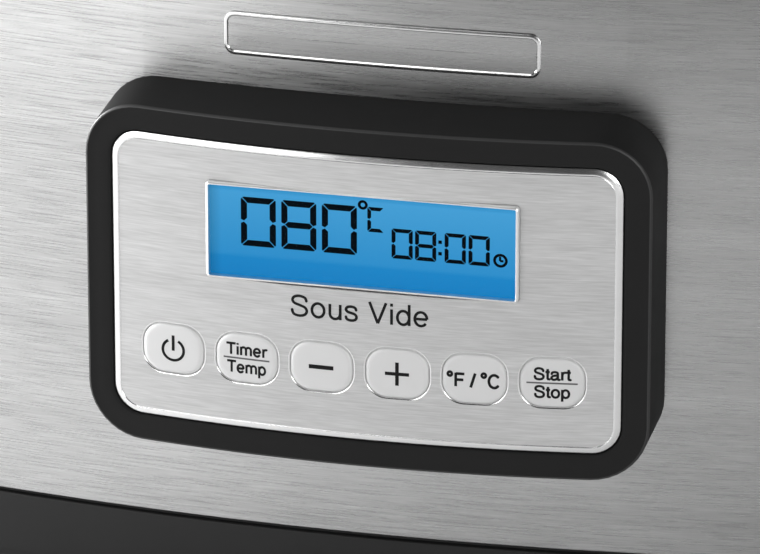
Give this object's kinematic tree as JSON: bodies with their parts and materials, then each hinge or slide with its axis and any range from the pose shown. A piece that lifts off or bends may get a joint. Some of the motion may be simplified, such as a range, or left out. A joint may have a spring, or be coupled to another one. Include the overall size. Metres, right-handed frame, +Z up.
{
  "type": "sous vide water bath cooker",
  "caption": "Countertop sous vide water bath: brushed steel housing with a curved key and display panel, lift-out pot, bag rack and domed glass lid.",
  "frame": {"origin": "on the plane the feet stand on, below the middle of the cooker's whole box, handles and control panel included", "axes": "+Z up, the control panel faces -Y, +X to the right as seen from the front"},
  "size_m": [0.406, 0.2912, 0.255],
  "materials": {
    "housing_steel": "horizontally brushed",
    "face_steel": "finely brushed, bright edge",
    "polished_steel": "polished",
    "zinc_steel": "zinc plated",
    "black_moulding": "fine moulded texture",
    "bezel_black": "satin",
    "foot_rubber": "matt",
    "aluminium_cast": "machined",
    "element_sheath": "oxidised sheath",
    "nonstick": "speckled coating",
    "board_green": "solder mask",
    "component_dark": "moulded",
    "relay_blue": "moulded",
    "lead_white": "insulated",
    "insulation": "fibre mat",
    "key_silver": "metallised",
    "lens_clear": "clear",
    "lcd_blue": "backlit",
    "light_guide": "milky",
    "lid_clear": "tempered",
    "seal_silicone": "silicone",
    "ceramic_white": "ceramic tube"
  },
  "bodies": {
    "base": {"base_ring": "black_moulding", "bottom_cover": "black_moulding", "rubber_feet": "foot_rubber", "cover_screws": "zinc_steel", "housing_shell": "housing_steel", "badge_plate": "polished_steel", "top_rim": "black_moulding", "inner_well": "polished_steel", "insulation_jacket": "insulation", "heating_plate": "aluminium_cast", "heater_element": "element_sheath", "probe_spring": "zinc_steel", "thermal_fuse": "ceramic_white", "fuse_clip": "zinc_steel", "power_board": "board_green", "power_board_screws": "zinc_steel", "transformer": "component_dark", "relay": "relay_blue", "capacitor": "component_dark", "heater_leads": "lead_white", "ribbon_cable": "lead_white", "inlet_socket": "black_moulding", "inlet_pins": "polished_steel", "inlet_screws": "zinc_steel", "handle_left": "black_moulding", "handle_right": "black_moulding", "handle_screws": "zinc_steel", "panel_bezel": "bezel_black", "panel_carrier": "black_moulding", "face_plate": "face_steel", "display_trim": "polished_steel", "display_lens": "lens_clear", "lcd_glass": "lcd_blue", "backlight": "light_guide", "lcd_frame": "light_guide", "control_board": "board_green", "tact_switches": "component_dark", "board_screws": "zinc_steel", "panel_rear_plate": "zinc_steel", "panel_screws": "zinc_steel"},
    "key_power": {"key_power": "key_silver"},
    "key_timer": {"key_timer": "key_silver"},
    "key_minus": {"key_minus": "key_silver"},
    "key_plus": {"key_plus": "key_silver"},
    "key_unit": {"key_unit": "key_silver"},
    "key_start": {"key_start": "key_silver"},
    "probe": {"probe_sensor": "aluminium_cast"},
    "pot": {"inner_pot": "nonstick"},
    "rack": {"rack_rails": "polished_steel", "rack_dividers": "polished_steel"},
    "lid": {"lid_rim": "polished_steel", "lid_seal": "seal_silicone", "lid_glass": "lid_clear", "vent_grommet": "polished_steel", "knob_washer": "polished_steel", "lid_knob": "black_moulding", "knob_screw": "polished_steel"}
  },
  "joints": [
    {"name": "key_power_press", "type": "slide", "parent": "base", "child": "key_power", "axis": [0, 1, 0], "range_m": [0, 0.0006], "stiffness_N_per_m": 200, "springref_m": -0.0005},
    {"name": "key_timer_press", "type": "slide", "parent": "base", "child": "key_timer", "axis": [0, 1, 0], "range_m": [0, 0.0006], "stiffness_N_per_m": 200, "springref_m": -0.0005},
    {"name": "key_minus_press", "type": "slide", "parent": "base", "child": "key_minus", "axis": [0, 1, 0], "range_m": [0, 0.0006], "stiffness_N_per_m": 200, "springref_m": -0.0005},
    {"name": "key_plus_press", "type": "slide", "parent": "base", "child": "key_plus", "axis": [0, 1, 0], "range_m": [0, 0.0006], "stiffness_N_per_m": 200, "springref_m": -0.0005},
    {"name": "key_unit_press", "type": "slide", "parent": "base", "child": "key_unit", "axis": [0, 1, 0], "range_m": [0, 0.0006], "stiffness_N_per_m": 200, "springref_m": -0.0005},
    {"name": "key_start_press", "type": "slide", "parent": "base", "child": "key_start", "axis": [0, 1, 0], "range_m": [0, 0.0006], "stiffness_N_per_m": 200, "springref_m": -0.0005},
    {"name": "probe_press", "type": "slide", "parent": "base", "child": "probe", "axis": [0, 0, -1], "range_m": [0, 0.002], "stiffness_N_per_m": 300, "springref_m": -0.003, "deforming": ["probe_spring"]},
    {"name": "pot_lift", "type": "slide", "parent": "base", "child": "pot", "axis": [0, 0, 1], "range_m": [0, 0.18]},
    {"name": "rack_lift", "type": "slide", "parent": "pot", "child": "rack", "axis": [0, 0, 1], "range_m": [0, 0.165]},
    {"name": "lid_lift", "type": "slide", "parent": "rack", "child": "lid", "axis": [0, 0, 1], "range_m": [0, 0.12]}
  ]
}
